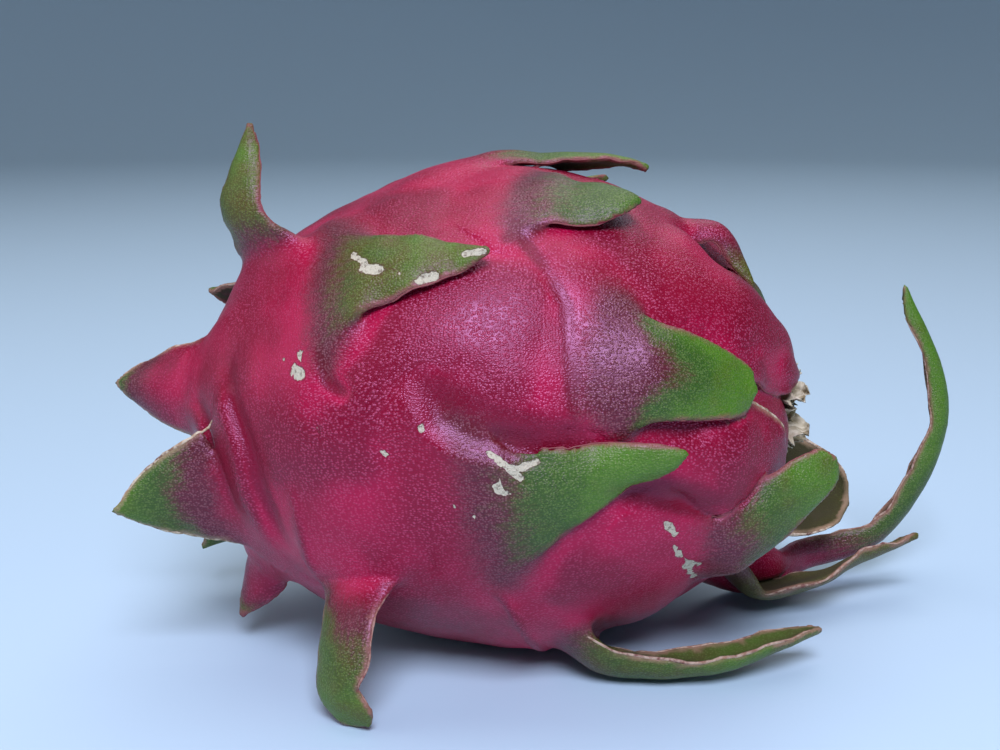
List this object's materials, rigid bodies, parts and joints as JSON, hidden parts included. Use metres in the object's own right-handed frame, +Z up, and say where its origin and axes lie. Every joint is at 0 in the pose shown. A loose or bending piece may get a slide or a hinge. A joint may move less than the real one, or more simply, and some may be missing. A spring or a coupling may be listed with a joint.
{
  "type": "dragon fruit",
  "caption": "Whole ripe dragon fruit lying on its side: plump egg-shaped body with long curling leafy scales and a withered flower.",
  "frame": {"origin": "middle of the small flat spot under the body on which the fruit rests", "axes": "+X along the fruit from its stem end to its flower end, +Z up, -Y towards the front with the broad scales"},
  "size_m": [0.1649, 0.0979, 0.0973],
  "materials": {
    "fruit": "satin waxy peel, magenta with green scale tips",
    "dried_flower": "matt, dry and papery"
  },
  "bodies": {
    "root": {"fruit": "fruit", "dried_flower": "dried_flower"}
  },
  "joints": []
}
